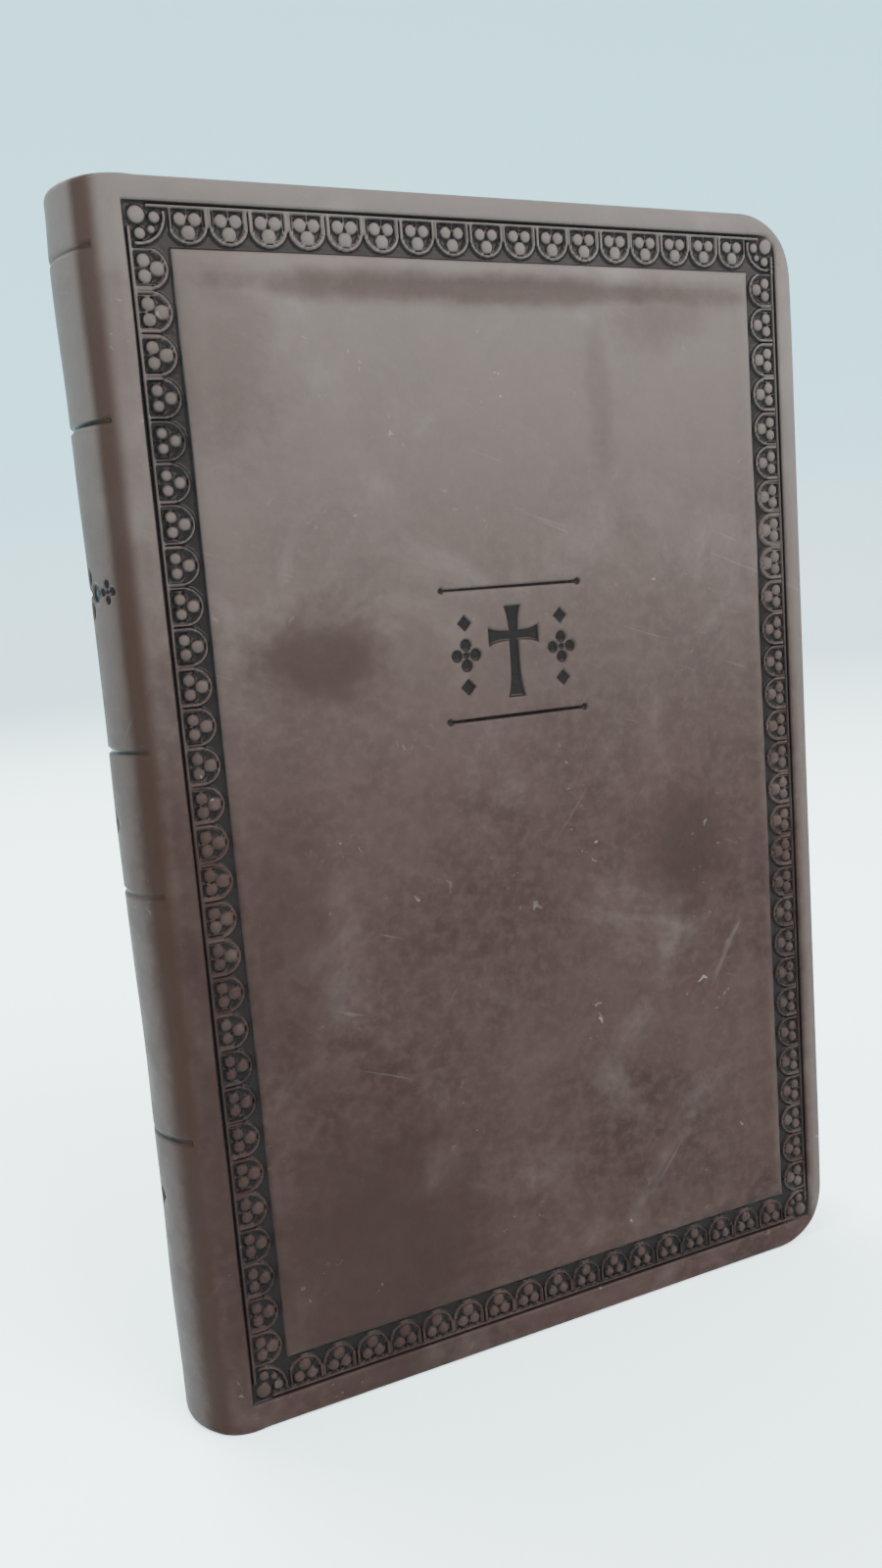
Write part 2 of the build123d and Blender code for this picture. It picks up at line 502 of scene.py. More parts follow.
class Patch:
    """A piece of the flat leather before it is wrapped: girth from start to end over the full height."""

    def __init__(self, start, end, rounded):
        self.start, self.end = start, end - (EDGE_ROUND if rounded else 0)
        self.rounded = rounded
        self.columns = max(2, round((self.end - self.start) / CELL))
        self.rows = round((HEIGHT - 2 * EDGE_ROUND) / CELL)

    def place(self, lattice_places):
        """Girth and height of places of the lattice, with the fore-edge corners rounded."""
        i, j = np.asarray(lattice_places, float).T
        girth = self.start + (self.end - self.start) * i / (self.columns * FINE)
        half = HEIGHT / 2 - EDGE_ROUND
        up = half * (2 * j / (self.rows * FINE) - 1)
        if self.rounded:
            radius = CORNER - EDGE_ROUND
            a = np.clip((girth - (self.end - radius)) / radius, 0, None)
            b = np.clip((np.abs(up) - (half - radius)) / radius, 0, None)
            both = (a > 0) & (b > 0)
            scale = np.where(both, np.maximum(a, b) / np.maximum(np.hypot(a, b), 1e-9), 1)
            girth = np.where(both, self.end - radius + a * scale * radius, girth)
            up = np.where(both, np.sign(up) * (half - radius + b * scale * radius), up)
        return girth, HEIGHT / 2 + up

    def outward(self, place, girth, z):
        """Unit step out of the leather at a place on the outline, or none on a cut side."""
        i, j = place
        on_end = j in (0, self.rows * FINE)
        on_fore = self.rounded and i == self.columns * FINE
        across = girth - (self.end + EDGE_ROUND - CORNER)
        rise = abs(z - HEIGHT / 2) - (HEIGHT / 2 - CORNER)
        if self.rounded and across > 0 and rise > 0 and (on_end or on_fore):
            length = math.hypot(across, rise)
            return across / length, math.copysign(rise / length, z - HEIGHT / 2)
        if on_end:
            return 0.0, math.copysign(1.0, z - HEIGHT / 2)
        return (1.0, 0.0) if on_fore else (0.0, 0.0)


def detailed_cells(patch, titled):
    """Which coarse cells hold tooling, or lie at a cut, and need fine division."""
    i, j = np.meshgrid(np.arange(patch.columns), np.arange(patch.rows), indexing="ij")
    middles = np.stack([i.ravel() + 0.5, j.ravel() + 0.5], axis=-1) * FINE
    girth, z = patch.place(middles)
    cover_x = SHOULDER_X + np.abs(girth) - FLAT_GIRTH
    out = np.maximum(*border_out(cover_x, z))
    fine = (out > -1.4) & (out < BORDER + 0.9)
    fine |= spine_distance(girth, z) < 1.3
    if titled:
        fine |= title_distance(cover_x, z) < 1.2
    at_cut = np.abs(np.abs(girth) - SEAM_GIRTH) < 1.3 * CELL
    return (fine | at_cut).reshape(patch.columns, patch.rows)


def rolled_rim(patch, outer, inner, outer_side, inner_side):
    """The half-round edge that joins the leather's two sides: rings of points, and their faces.

    A side is the girths, heights and depths of its lattice's points.
    """
    girth, z, outer_depth = outer_side
    outline = outer.outline()
    top_ids = np.array([outer.ids[place] for place in outline])
    low_ids = np.array([inner.ids[place] for place in outline])
    steps = np.array([patch.outward(p, girth[k], z[k]) for p, k in zip(outline, top_ids)])
    top_depth, low_depth = outer_depth[top_ids], inner_side[2][low_ids]
    first_id = outer_side.shape[1] + inner_side.shape[1]
    points, rings = [], [top_ids]
    for k in range(1, RIM_STEPS):
        angle = math.pi * k / RIM_STEPS
        share = (1 - math.cos(angle)) / 2
        reach = EDGE_ROUND * math.sin(angle)
        ring_girth = girth[top_ids] + reach * steps[:, 0]
        ring_z = z[top_ids] + reach * steps[:, 1]
        points.append(np.stack([ring_girth, ring_z, top_depth * (1 - share) + low_depth * share]))
        rings.append(first_id + (k - 1) * len(outline) + np.arange(len(outline)))
    rings.append(low_ids + outer_side.shape[1])
    faces = []
    for upper, lower in zip(rings, rings[1:]):
        quads = np.stack([upper, lower, np.roll(lower, -1), np.roll(upper, -1)], axis=-1)
        faces += quads.tolist()
    return points, faces


def leather_piece(name, start, end, side, rounded, titled):
    """A closed piece of leather between two girths: its tooled side, its lining side and its rim."""
    patch = Patch(start, end, rounded)
    fine = detailed_cells(patch, titled)
    on_rim = np.ones_like(fine)
    on_rim[1:-1, 1:-1] = False
    outer, inner = Lattice(fine), Lattice(fine & on_rim)

    girth, z = patch.place(outer.places)
    relief = skin_height(side * girth, z, titled)
    outer_side = np.stack([girth, z, cover_curl(girth, z) - relief])
    girth, z = patch.place(inner.places)
    inner_side = np.stack([girth, z, cover_curl(girth, z) + cover_thickness(girth, z)])
    rim, rim_faces = rolled_rim(patch, outer, inner, outer_side, inner_side)

    girth, z, depth = np.concatenate([outer_side, inner_side, *rim], axis=1)
    faces = outer.faces + flipped(inner.faces, len(relief)) + rim_faces
    if side > 0:
        faces = flipped(faces)
    obj = make_object(name, skin_points(side * girth, z, depth), faces, [LEATHER_LOOK])
    set_uv(obj, np.stack([side * girth, z], axis=-1) * MM)
    recess = np.zeros(len(girth))
    recess[: len(relief)] = np.clip(-relief / GROUND_DEPTH, -0.6, 1)
    set_value(obj, "recess", recess)
    sharpen(obj, 65)
    return obj


# ---------------------------------------------------------------------------------------------
# Materials


class Shader:
    """Short names for building a material's node tree."""

    def __init__(self, name):
        self.material = bpy.data.materials.new(name)
        self.material.use_nodes = True
        self.tree = self.material.node_tree
        self.surface = self.tree.nodes["Principled BSDF"]

    def node(self, kind, **settings):
        made = self.tree.nodes.new(kind)
        for key, value in settings.items():
            setattr(made, key, value)
        return made

    def link(self, source, target):
        self.tree.links.new(source, target)

    def put(self, socket, value):
        """Links a socket, or sets a plain value."""
        if isinstance(value, bpy.types.NodeSocket):
            self.link(value, socket)
        else:
            socket.default_value = value

    def uv(self, scale=(1, 1, 1), turn=0.0, middle=(0, 0)):
        """The piece's stored coordinates in metres, measured from a middle, turned and stretched."""
        place = self.node("ShaderNodeUVMap", uv_map="skin").outputs["UV"]
        if turn or any(middle):
            moved = self.node("ShaderNodeMapping")
            self.link(place, moved.inputs["Vector"])
            moved.inputs["Rotation"].default_value = (0, 0, math.radians(turn))
            moved.inputs["Location"].default_value = (-middle[0], -middle[1], 0)
            place = moved.outputs["Vector"]
        return self.scaled(place, scale)

    def local(self, scale=(1, 1, 1)):
        """The piece's own coordinates, in metres times a scale."""
        place = self.node("ShaderNodeTexCoord")
        return self.scaled(place.outputs["Object"], scale)

    def scaled(self, vector, scale):
        """A vector times a scale."""
        mapping = self.node("ShaderNodeMapping")
        self.link(vector, mapping.inputs["Vector"])
        mapping.inputs["Scale"].default_value = scale
        return mapping.outputs["Vector"]

    def noise(self, vector, scale, detail=4.0, roughness=0.55, distortion=0.0):
        """Soft cloudy noise, about 0.5 on average."""
        made = self.node("ShaderNodeTexNoise")
        self.link(vector, made.inputs["Vector"])
        made.inputs["Scale"].default_value = scale
        made.inputs["Detail"].default_value = detail
        made.inputs["Roughness"].default_value = roughness
        made.inputs["Distortion"].default_value = distortion
        return made.outputs["Fac"]

    def cells(self, vector, scale, feature="F1", randomness=1.0):
        """Distance from the nearest of many scattered points."""
        made = self.node("ShaderNodeTexVoronoi", feature=feature)
        self.link(vector, made.inputs["Vector"])
        made.inputs["Scale"].default_value = scale
        made.inputs["Randomness"].default_value = randomness
        return made.outputs["Distance"]

    def stripes(self, vector, direction, scale):
        """Soft parallel bands, about three to the metre at scale 1."""
        made = self.node("ShaderNodeTexWave", bands_direction=direction)
        self.link(vector, made.inputs["Vector"])
        made.inputs["Scale"].default_value = scale
        return made.outputs["Fac"]

    def value(self, name):
        """A number stored on the mesh."""
        made = self.node("ShaderNodeAttribute", attribute_name=name)
        return made.outputs["Fac"]

    def range(self, value, low, high, to_low=0.0, to_high=1.0):
        """A smooth step from one number to another."""
        made = self.node("ShaderNodeMapRange", interpolation_type="SMOOTHSTEP")
        self.put(made.inputs["Value"], value)
        made.inputs["From Min"].default_value = low
        made.inputs["From Max"].default_value = high
        made.inputs["To Min"].default_value = to_low
        made.inputs["To Max"].default_value = to_high
        return made.outputs["Result"]

    def math(self, operation, first, second=0.0):
        made = self.node("ShaderNodeMath", operation=operation)
        self.put(made.inputs[0], first)
        self.put(made.inputs[1], second)
        return made.outputs["Value"]

    def mix(self, share, first, second, blend="MIX"):
        made = self.node("ShaderNodeMix", data_type="RGBA", blend_type=blend)
        self.put(made.inputs["Factor"], share)
        self.put(made.inputs["A"], first)
        self.put(made.inputs["B"], second)
        return made.outputs["Result"]

    def bump(self, height, strength, distance, normal=None):
        made = self.node("ShaderNodeBump")
        made.inputs["Strength"].default_value = strength
        made.inputs["Distance"].default_value = distance
        self.link(height, made.inputs["Height"])
        if normal is not None:
            self.link(normal, made.inputs["Normal"])
        return made.outputs["Normal"]

    def finish(self, color, roughness, normal=None, specular=0.5, tint=(1, 1, 1)):
        self.put(self.surface.inputs["Base Color"], color)
        self.put(self.surface.inputs["Roughness"], roughness)
        if normal is not None:
            self.link(normal, self.surface.inputs["Normal"])
        self.surface.inputs["Specular IOR Level"].default_value = specular
        self.surface.inputs["Specular Tint"].default_value = (*tint, 1)
        return self.material


def soft_oval(s, ragged, across, up, half_width, half_height):
    """A soft-edged oval on the front cover, 1 in its middle. Sizes are in millimetres."""
    girth = -(across - SHOULDER_X + FLAT_GIRTH)
    scale = (1 / (half_width * MM), 1 / (half_height * MM), 0)
    oval = s.node("ShaderNodeVectorMath", operation="LENGTH")
    s.link(s.uv(scale, middle=(girth * MM, up * MM)), oval.inputs[0])
    return s.range(s.math("ADD", oval.outputs["Value"], ragged), 1.6, 0.4)


def stains_and_shade_band(s, place):
    """Share of handling stain, and of the painted shade band under the panel's top edge, anywhere on the
    front cover.
    """
    ragged = s.range(s.noise(place, 120, 4, 0.6), 0.2, 0.8, -0.25, 0.25)
    share = 0.0
    for *shape, strength in STAINS_AND_SHADE_BAND:
        share = s.math("MAXIMUM", share, s.math("MULTIPLY", soft_oval(s, ragged, *shape), strength))
    return share


def scratch_lines(s, turn, wander):
    """Sparse fine lines along one direction."""
    lines = s.noise(s.uv((24, 420, 1), turn), 1.0, 3, 0.5, wander)
    return s.range(lines, 0.715, 0.75)


def painted_edge_highlight(s, from_spine):
    """Share of painted highlight along the fore-edge and over the round of the spine, where the curved
    leather catches the light.
    """
    highlight_start = (FULL_GIRTH - 4.4) * MM
    fore_edge = s.range(from_spine, highlight_start, highlight_start + 0.003, 0.0, 0.40)
    round_back = s.range(from_spine, 0.0095, 0.0055, 0.0, 0.30)
    return s.math("MAXIMUM", fore_edge, round_back)


def leather_specks(s, place):
    """Share of small pale specks, in scattered groups."""
    groups = s.range(s.noise(place, 70, 3), 0.52, 0.72)
    specks = s.range(s.noise(place, 560, 2, 0.5, 0.8), 0.66, 0.76)
    return s.math("MULTIPLY", s.math("MULTIPLY", specks, groups), 0.35)


def leather_material():
    """Softly clouded brown imitation leather with pale bloom, painted sheen that grows towards its top,
    painted highlight along its edges, and dark glossy hollows.
    """
    deep, brown = (0.0141, 0.0078, 0.0068, 1), (0.0195, 0.0109, 0.0094, 1)
    pale = (0.0269, 0.0161, 0.0138, 1)
    stain_and_shade_brown, burnished = (0.0128, 0.0069, 0.0060, 1), (0.0150, 0.0072, 0.0050, 1)
    # pale_bloom_and_sheen is the colour of the pale bloom, and of the painted sheen and painted
    # highlight
    pale_bloom_and_sheen, flecked = (0.0640, 0.0510, 0.0470, 1), (0.15, 0.135, 0.125, 1)
    scratched, hollow = (0.09, 0.075, 0.068, 1), (0.0052, 0.0043, 0.0044, 1)
    s = Shader("leather")
    place = s.uv()
    split = s.node("ShaderNodeSeparateXYZ")
    s.link(place, split.inputs["Vector"])
    from_spine = s.math("ABSOLUTE", split.outputs["X"])

    clouds = s.range(s.noise(place, 26, 3, 0.5, 0.3), 0.36, 0.64)
    color = s.mix(clouds, deep, brown)
    mottle = s.range(s.noise(place, 150, 5, 0.6, 0.3), 0.35, 0.70)
    color = s.mix(s.math("MULTIPLY", mottle, 0.5), color, pale)
    freckles = s.range(s.noise(place, 480, 3, 0.6), 0.42, 0.66, 0.0, 0.55)
    color = s.mix(freckles, color, pale)
    # Handling stains, and the painted shade band under the panel's top edge
    stains_and_shade = stains_and_shade_band(s, place)
    color = s.mix(stains_and_shade, color, stain_and_shade_brown)

    # Painted sheen: the leather turns paler towards the top of the cover, where overhead light would
    # reflect; bloom adds random pale patches
    painted_top_sheen = s.range(split.outputs["Y"], 0.085, 0.235, 0.0, 0.80)
    bloom = s.range(s.noise(place, 42, 6, 0.62, 0.6), 0.50, 0.78, 0.0, 0.32)
    bloom_and_painted_sheen = s.math("MULTIPLY", s.math("ADD", painted_top_sheen, bloom), s.math("SUBTRACT", 1.0, stains_and_shade))
    color = s.mix(bloom_and_painted_sheen, color, pale_bloom_and_sheen)
    # Painted highlight along the fore-edge and over the spine's round
    color = s.mix(painted_edge_highlight(s, from_spine), color, pale_bloom_and_sheen)
    color = s.mix(leather_specks(s, place), color, flecked)
    lines = s.math("MAXIMUM", scratch_lines(s, 52, 1.2), scratch_lines(s, -21, 2.0))
    color = s.mix(s.math("MULTIPLY", lines, 0.12), color, scratched)

    ground = s.range(s.value("recess"), 0.26, 0.68, 0.0, 0.96)
    color = s.mix(ground, color, hollow)
    beside_spine = s.range(from_spine, 0.0078, 0.0100)
    before_border = s.range(from_spine, 0.0146, 0.0118)
    burnish = s.math("MULTIPLY", s.math("MULTIPLY", beside_spine, before_border), 0.85)
    color = s.mix(burnish, color, burnished)

    normal = s.bump(s.cells(place, 1150, "SMOOTH_F1"), 0.10, 0.0002)
    normal = s.bump(s.noise(place, 420, 5, 0.6), 0.22, 0.0003, normal)
    rough = s.range(s.noise(place, 130, 5, 0.6), 0.3, 0.7, 0.50, 0.62)
    rough = s.math("SUBTRACT", rough, s.math("MULTIPLY", ground, 0.30))
    return s.finish(color, rough, normal, specular=0.045, tint=(1.0, 0.84, 0.79))


def paper_material(name, tint, shade):
    """Matte paper with fibres and faint clouding."""
    s = Shader(name)
    place = s.local()
    clouds = s.range(s.noise(place, 30, 5), 0.3, 0.7)
    color = s.mix(clouds, (*tint, 1), (*shade, 1))
    fibres = s.noise(s.local((900, 900, 260)), 1.0, 4, 0.7, 0.6)
    color = s.mix(s.range(fibres, 0.62, 0.74, 0.0, 0.18), color, (*[0.7 * c for c in shade], 1))
    normal = s.bump(fibres, 0.12, 0.0001)
    rough = s.range(fibres, 0.3, 0.7, 0.78, 0.92)
    return s.finish(color, rough, normal, specular=0.25)


def leaf_edge_material():
    """Gilt on the cut edges of the leaves, rubbed so that paper shows between them."""
    s = Shader("leaf_edge")
    leaves = s.noise(s.local((60, 9000, 60)), 1.0, 3, 0.6)
    rubbed = s.noise(s.local(), 90, 6, 0.65, 0.5)
    worn = s.range(s.math("ADD", rubbed, s.math("MULTIPLY", leaves, 0.5)), 0.78, 0.96)
    gilt = s.mix(s.range(leaves, 0.3, 0.7), (0.21, 0.125, 0.036, 1), (0.37, 0.245, 0.085, 1))
    color = s.mix(s.math("MULTIPLY", worn, 0.7), gilt, (0.33, 0.27, 0.18, 1))
    metal = s.range(worn, 0.0, 1.0, 0.85, 0.1)
    s.link(metal, s.surface.inputs["Metallic"])
    normal = s.bump(leaves, 0.5, 0.00008)
    rough = s.range(worn, 0.0, 1.0, 0.36, 0.7)
    return s.finish(color, rough, normal)


def board_material():
    """Grey-brown pulp board."""
    s = Shader("board")
    fibres = s.noise(s.local((700, 250, 700)), 1.0, 5, 0.7)
    color = s.mix(fibres, (0.10, 0.080, 0.058, 1), (0.18, 0.150, 0.113, 1))
    return s.finish(color, s.range(fibres, 0, 1, 0.8, 0.95), s.bump(fibres, 0.3, 0.0001))


def cloth_material():
    """Open starched weave of the spine lining."""
    s = Shader("mull")
    weave = s.math("MULTIPLY", s.stripes(s.uv(), "X", 320), s.stripes(s.uv(), "Y", 320))
    fuzz = s.noise(s.uv(), 1400, 2)
    threads = s.math("MULTIPLY", weave, fuzz)
    color = s.mix(threads, (0.16, 0.14, 0.105, 1), (0.46, 0.42, 0.34, 1))
    return s.finish(color, s.range(fuzz, 0, 1, 0.8, 0.95), s.bump(threads, 0.5, 0.0002))


def band_material():
    """Two colours of silk thread wound over the band's core."""
    s = Shader("band")
    winding = s.range(s.value("winding"), 0.45, 0.55)
    color = s.mix(winding, (0.065, 0.016, 0.009, 1), (0.30, 0.22, 0.11, 1))
    strands = s.noise(s.local((4000, 4000, 4000)), 1.0, 3)
    color = s.mix(s.range(strands, 0.4, 0.7, 0.0, 0.35), color, (0.05, 0.025, 0.014, 1))
    return s.finish(color, s.range(strands, 0.3, 0.7, 0.42, 0.6), s.bump(strands, 0.4, 0.0001))


def floor_material():
    """Plain pale matte floor, a little bluer where it rises into the backdrop."""
    s = Shader("floor")
    height = s.node("ShaderNodeSeparateXYZ")
    s.link(s.local(), height.inputs["Vector"])
    low, high = (0.73, 0.88, 0.895, 1), (0.50, 0.785, 0.85, 1)
    color = s.mix(s.range(height.outputs["Z"], 0.0, 0.7), low, high)
    tone = s.noise(s.local(), 9, 3)
    color = s.mix(s.range(tone, 0.3, 0.7, 0.0, 0.05), color, (0.60, 0.68, 0.69, 1))
    return s.finish(color, s.range(tone, 0, 1, 0.75, 0.85), specular=0.2)


LEATHER_LOOK = leather_material()
PAGE_LOOK = paper_material("page", (0.44, 0.385, 0.30), (0.38, 0.325, 0.245))
ENDPAPER_LOOK = paper_material("endpaper", (0.27, 0.212, 0.148), (0.252, 0.195, 0.134))
LEAF_EDGE_LOOK = leaf_edge_material()
BOARD_LOOK = board_material()
MULL_LOOK = cloth_material()
BAND_LOOK = band_material()


# ---------------------------------------------------------------------------------------------
# The leather


def build_leather():
    """The skin as three pieces, cut where nothing bends."""
    for side, word in ((-1, "front"), (1, "back")):
        cover = leather_piece(f"{word}_cover_skin", SEAM_GIRTH, FULL_GIRTH, side, True, side < 0)
        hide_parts(f"{word}_cover_leather")
        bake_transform(cover)
    spine = leather_piece("spine_skin", -SEAM_GIRTH, SEAM_GIRTH, 1, False, False)
    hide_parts("front_spine_leather", "back_spine_leather")
    bend_across_opening(spine)


def bend_across_opening(piece):
    """Bakes a piece's placement into its mesh; it does not bend it."""
    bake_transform(piece)


# ---------------------------------------------------------------------------------------------
# Spine lining and bands


def round_layer(name, radius, thickness, low, high, half_width, material):
    """An even closed layer of the rounded back."""
    turn = math.asin(half_width / radius)
    angles = np.linspace(-turn, turn, 49)
    heights = np.linspace(low, high, 60)
    angle, z = (grid.ravel() for grid in np.meshgrid(angles, heights, indexing="ij"))
    layers = []
    for r in (radius, radius - thickness):
        layers.append(np.stack([SPINE_CENTRE_X - r * np.cos(angle), r * np.sin(angle), z], axis=-1))
    sides, edge = layer_faces(len(angles), len(heights))
    obj = make_object(name, np.concatenate(layers), sides + edge, [material])
    set_uv(obj, np.tile(np.stack([angle * radius, z], axis=-1), (2, 1)) * MM)
    sharpen(obj, 40)
    return obj


def bead_band(name, z, radius, bead, half_width):
    """A head or tail band: silk wound in turns over a core that follows the rounded back."""
    windings, steps_in_winding, steps_around = 30, 10, 20
    turn = math.asin(half_width / radius)
    length = 2 * turn * radius
    angles = np.linspace(-turn, turn, windings * steps_in_winding + 1)
    around = np.linspace(0, 2 * math.pi, steps_around, endpoint=False)
    angle, about = np.meshgrid(angles, around, indexing="ij")
    phase = (angle + turn) * radius / length * windings + about / (2 * math.pi)
    swell = np.abs(np.sin(math.pi * phase * 2))
    r = bead * (0.86 + 0.14 * swell)
    ends = np.sqrt(np.clip(1 - (np.abs(angle) / turn) ** 24, 0.02, 1))
    out = radius + r * ends * np.cos(about)
    points = np.stack(
        [SPINE_CENTRE_X - out * np.cos(angle), out * np.sin(angle), z + r * ends * np.sin(about)],
        axis=-1,
    )
    walls, caps = tube_faces(len(angles), steps_around)
    obj = make_object(name, points.reshape(-1, 3), walls + caps, [BAND_LOOK])
    set_value(obj, "winding", (np.floor(phase * 2) % 2).ravel())
    return obj


def build_spine_inside():
    """Card strip, lining and bands of the rounded back."""
    card_radius = SPINE_RADIUS - LEATHER - 0.02
    mull_radius = SPINE_CENTRE_X - mull_low[0]
    layers = (
        ("card", "board", card_radius, CARD_THICKNESS, card_low, card_high, BOARD_LOOK),
        ("mull", "mull", mull_radius, MULL_THICKNESS, mull_low, mull_high, MULL_LOOK),
    )
    for word, slot, radius, thickness, low, high, look in layers:
        layer = round_layer(f"spine_{word}", radius, thickness, low[2], high[2], high[1], look)
        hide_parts(f"front_spine_{word}", f"back_spine_{word}")
        bend_across_opening(layer)
    bands = (("headband", band_low, band_high), ("tailband", tail_band_low, tail_band_high))
    for word, low, high in bands:
        bead = (high[2] - low[2]) / 2
        radius = SPINE_CENTRE_X - low[0] - bead
        band = bead_band(word, (low[2] + high[2]) / 2, radius, bead, high[1] - bead / 2)
        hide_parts(f"front_{word}", f"back_{word}")
        bend_across_opening(band)


# ---------------------------------------------------------------------------------------------
# Leaves


def leaf_outline(back, fore, low, high):
    """Outline of a leaf seen from the front, anticlockwise, with rounded fore-edge corners."""
    corner = LEAF_CORNER
    corner_x = fore - corner
    turns = np.linspace(0, math.pi / 2, 9)
    rise = np.linspace(low + corner, high - corner, 16)[1:-1]
    run = np.linspace(back, corner_x, 12)[:-1]
    outline = [(x, low) for x in run]
    outline += [(corner_x + corner * math.sin(t), low + corner - corner * math.cos(t)) for t in turns]
    outline += [(fore, z) for z in rise]
    outline += [(corner_x + corner * math.cos(t), high - corner + corner * math.sin(t)) for t in turns]
    outline += [(x, high) for x in run[::-1]]
    return np.array(outline)


def build_gathering(node, rng):
    """A gathering whose cut edges show its leaves one by one."""
    low, high = box_mm(node)
    levels = np.linspace(low[1], high[1], LEAVES_IN_GATHERING + 1)
    middle, half = (low[1] + high[1]) / 2, (high[1] - low[1]) / 2
    rings = []
    for number in range(LEAVES_IN_GATHERING):
        trim = rng.uniform(0.0, 0.06)
        for level in levels[number : number + 2]:
            fold = half - math.sqrt(max(half**2 - (level - middle) ** 2, 0))
            ring = leaf_outline(low[0] + fold, high[0] - trim, low[2] + trim, high[2] - trim)
            rings.append(np.insert(ring, 1, level, axis=1))
    walls, caps = tube_faces(len(rings), len(rings[0]))
    looks = [LEAF_EDGE_LOOK, PAGE_LOOK]
    obj = make_object(f"{node}_leaves", np.concatenate(rings), walls + caps, looks)
    for face in obj.data.polygons[len(walls) :]:
        face.material_index = 1
    sharpen(obj, 30)
    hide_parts(node)
    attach(obj, node.split("_")[0] + "_half")


def thin_strip(name, path, thickness, material, corner=0.0):
    """A closed sheet of paper, as high as the leaves, that follows a path seen from above."""
    low, high = flyleaf_low[2], flyleaf_high[2]
    path = np.asarray(path, float)
    steps = np.gradient(path, axis=0)
    steps /= np.linalg.norm(steps, axis=1)[:, None]
    normals = np.stack([-steps[:, 1], steps[:, 0]], axis=-1) * thickness / 2
    rows = 48
    share = np.linspace(0, 1, rows)
    drop = np.zeros(len(path))
    if corner:
        into = np.clip((path[:, 0] - (path[:, 0].max() - corner)) / corner, 0, 1)
        drop = corner * (1 - np.sqrt(1 - into**2))
    z = (low + drop)[:, None] + share[None, :] * (high - low - 2 * drop)[:, None]
    layers = []
    for offset in (normals, -normals):
        xy = np.repeat((path + offset)[:, None, :], rows, axis=1)
        layers.append(np.concatenate([xy, z[:, :, None]], axis=2).reshape(-1, 3))
    sides, edge = layer_faces(len(path), rows)
    obj = make_object(name, np.concatenate(layers), sides + edge, [material, LEAF_EDGE_LOOK])
    for face in obj.data.polygons[len(sides) :]:
        face.material_index = 1
    sharpen(obj, 40)
    return obj


def sheet_path(back, fore, y):
    """Points along a flat leaf, close together where it bends and at its rounded corners."""
    bend = 14
    near = np.linspace(back, back + bend, 22)
    far = np.linspace(back + bend, fore - LEAF_CORNER, 20)[1:]
    turns = np.linspace(0, math.pi / 2, 14)[1:]
    tip = fore - LEAF_CORNER + LEAF_CORNER * np.sin(turns)
    return [(x, y) for x in (*near, *far, *tip)]


def build_leaves():
    """Gatherings, flyleaves, the fold of each endpaper, and the spread on which the block opens."""
    rng = np.random.default_rng(11)
    for node in sorted(frame["nodes"]):
        if "gathering" in node:
            build_gathering(node, rng)
    for side, word in ((-1, "front"), (1, "back")):
        build_flyleaf(side, word)
        build_endpaper_fold(side, word)
    build_centre()


def build_flyleaf(side, word):
    """The free endpaper leaf, as a flat sheet."""
    y = side * (flyleaf_low[1] + flyleaf_high[1]) / 2
    path = sheet_path(flyleaf_low[0], flyleaf_high[0], y)
    name = f"{word}_flyleaf_sheet"
    leaf = thin_strip(name, path, ENDPAPER_THICKNESS, ENDPAPER_LOOK, LEAF_CORNER)
    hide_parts(f"{word}_flyleaf")
    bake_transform(leaf)


def build_endpaper_fold(side, word):
    """Where the pastedown turns into the flyleaf, inside the cover's joint."""
    cover_y, block_y = INNER_Y + 0.1, (flyleaf_low[1] + flyleaf_high[1]) / 2
    fold_x, fold_half = HINGE_X - 0.4, (cover_y - block_y) / 2
    middle = (cover_y + block_y) / 2
    turns = np.linspace(math.pi / 2, -math.pi / 2, 15)[1:-1]
    path = [(x, cover_y) for x in np.linspace(pastedown_low[0] + 0.3, fold_x, 12)]
    path += [(fold_x - fold_half * math.cos(t), middle + fold_half * math.sin(t)) for t in turns]
    path += [(x, block_y) for x in np.linspace(fold_x, flyleaf_low[0] + 0.2, 12)]
    path = [(x, side * y) for x, y in path]
    strip = thin_strip(f"{word}_endpaper_fold", path, ENDPAPER_THICKNESS, ENDPAPER_LOOK)
    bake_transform(strip)


def build_centre():
    """The innermost spread, joined in the gutter, and the single leaf that stands up in it."""
    back, fore = leaf_low[0] + 0.5, leaf_high[0]
    spread_y = 0.2
    page = sheet_path(back, fore, spread_y)
    turns = np.linspace(math.pi / 2, -math.pi / 2, 31)[1:-1]
    fold = [(back - spread_y * math.cos(t), spread_y * math.sin(t)) for t in turns]
    path = page[::-1] + fold + [(x, -y) for x, y in page]
    spread = thin_strip("centre_spread", path, 0.06, PAGE_LOOK, LEAF_CORNER)
    bend_across_opening(spread)
    path = sheet_path(back - 0.1, fore, 0.0)
    leaf = thin_strip("centre_leaf_sheet", path, 0.08, PAGE_LOOK, LEAF_CORNER)
    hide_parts("centre_leaf")
    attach(leaf, "centre_leaf")


def dress_boards():
    """Materials of the CAD nodes that stay in view."""
    looks = {"board": BOARD_LOOK, "pastedown": ENDPAPER_LOOK}
    for node, obj in frame["nodes"].items():
        word = node.split("_")[-1]
        if word in looks:
            obj.data.materials.clear()
            obj.data.materials.append(looks[word])


# ---------------------------------------------------------------------------------------------
# Studio


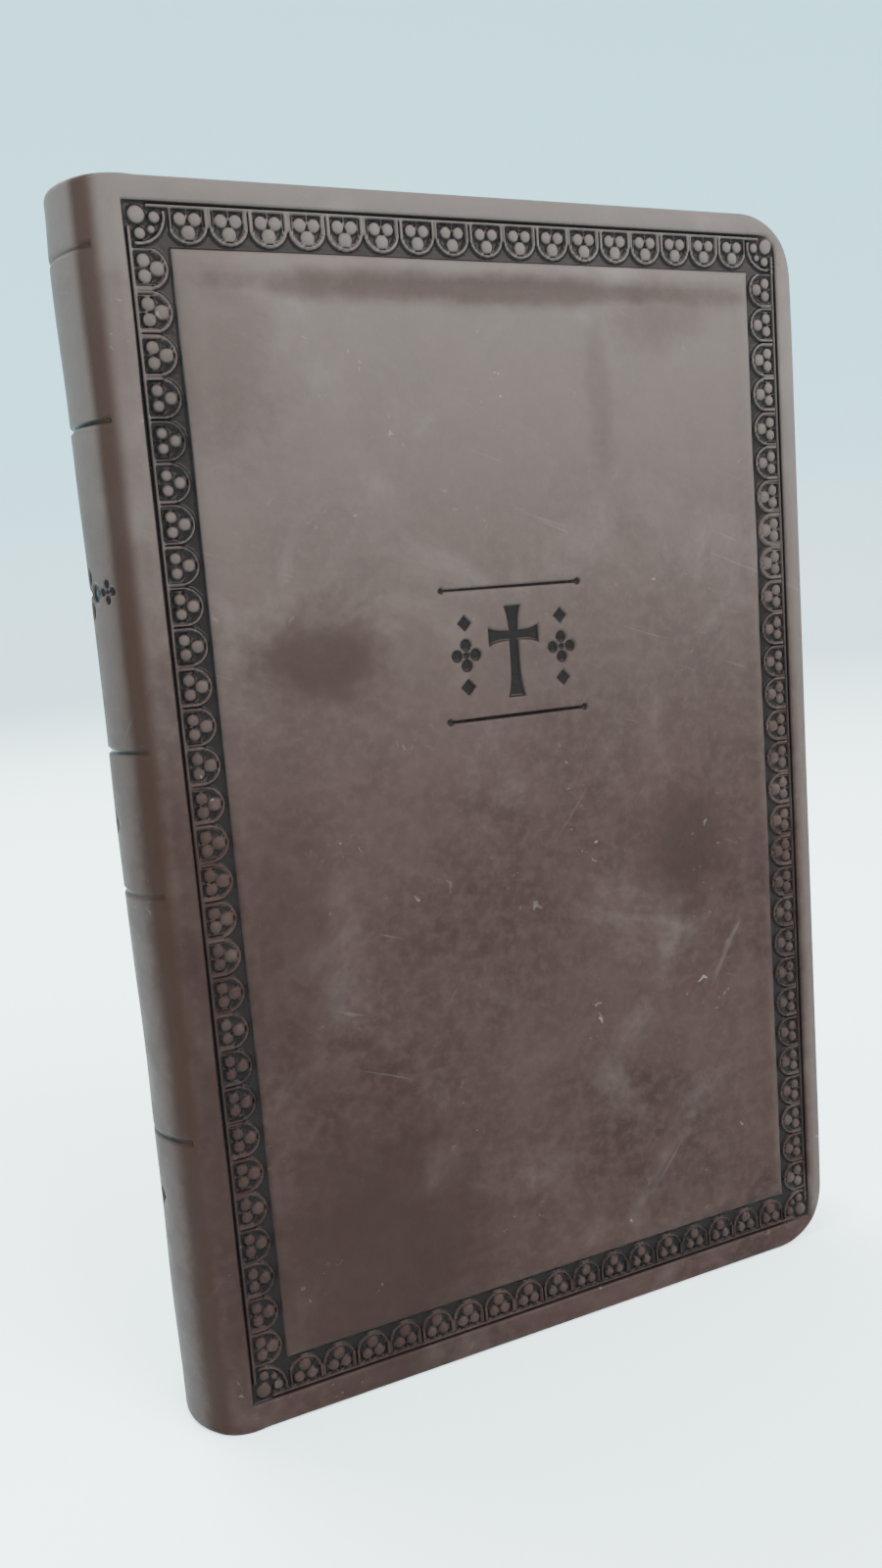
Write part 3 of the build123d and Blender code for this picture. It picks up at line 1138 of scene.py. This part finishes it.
def build_floor():
    """A wide pale floor that sweeps up into a plain backdrop all round the book."""
    flat, sweep, top = 2300, 1200, 2600
    turns = np.linspace(0, math.pi / 2, 24)
    profile = [(flat / 2, 0.0)]
    profile += [(flat + sweep * math.sin(t), sweep - sweep * math.cos(t)) for t in turns]
    profile += [(flat + sweep, top)]
    around = np.linspace(0, 2 * math.pi, 96, endpoint=False)
    points = [(r * math.cos(a), r * math.sin(a), z) for r, z in profile for a in around]
    walls, caps = tube_faces(len(profile), len(around))
    make_object("floor", points, walls + caps[:1], [floor_material()])


def area_light(name, place, target, size, power, color):
    """A soft square lamp aimed at a point."""
    data = bpy.data.lights.new(name, "AREA")
    data.shape = "SQUARE"
    data.size = size
    data.energy = power
    data.color = color
    lamp = bpy.data.objects.new(name, data)
    lamp.location = place
    lamp.rotation_mode = "QUATERNION"
    lamp.rotation_quaternion = (Vector(target) - Vector(place)).to_track_quat("-Z", "Y")
    bpy.context.scene.collection.objects.link(lamp)


def build_light():
    """Plain soft studio light: a surround that is paler overhead, and a broad window-like lamp."""
    world = bpy.data.worlds.new("surround")
    world.use_nodes = True
    tree = world.node_tree
    direction = tree.nodes.new("ShaderNodeTexCoord")
    height = tree.nodes.new("ShaderNodeSeparateXYZ")
    tree.links.new(direction.outputs["Generated"], height.inputs["Vector"])
    strength = tree.nodes.new("ShaderNodeMapRange")
    strength.interpolation_type = "SMOOTHSTEP"
    tree.links.new(height.outputs["Z"], strength.inputs["Value"])
    strength.inputs["From Min"].default_value = 0.10
    strength.inputs["From Max"].default_value = 0.70
    strength.inputs["To Min"].default_value = 0.5
    strength.inputs["To Max"].default_value = 2.7
    background = tree.nodes["Background"]
    background.inputs["Color"].default_value = (0.90, 0.98, 1.0, 1)
    tree.links.new(strength.outputs["Result"], background.inputs["Strength"])
    bpy.context.scene.world = world
    area_light("window", (0.50, -1.05, 0.86), (0.0, 0, 0.22), 1.0, 64.0, (1.0, 0.98, 0.965))
    area_light("left", (-1.15, -0.45, 0.80), (-0.06, 0, 0.2), 0.7, 26.0, (0.98, 1.0, 1.0))
    area_light("right", (1.30, -0.50, 0.70), (0.06, 0, 0.15), 0.7, 14.0, (0.98, 1.0, 1.0))
    area_light("back", (-0.30, 0.80, 1.25), (0.0, 0, 0.10), 0.8, 52.0, (1.0, 0.98, 0.965))


def build_camera():
    """The camera, a little left of the book and level with its upper half."""
    right = Vector((0.909, -0.410, -0.078))
    ahead = Vector((0.396, 0.906, -0.148)).normalized()
    right = (right - ahead * right.dot(ahead)).normalized()
    up = right.cross(ahead)
    data = bpy.data.cameras.new("camera")
    data.sensor_width = 36.0
    data.lens = 28.1
    data.clip_start, data.clip_end = 0.01, 50
    camera = bpy.data.objects.new("camera", data)
    turn = Matrix((right, up, -ahead)).transposed()
    place = Vector(metres(-102.5, -214.2, 145.7))
    camera.matrix_world = Matrix.Translation(place) @ turn.to_4x4()
    bpy.context.scene.collection.objects.link(camera)
    bpy.context.scene.camera = camera


build_camera()
build_leather()
build_spine_inside()
build_leaves()
dress_boards()
build_floor()
build_light()
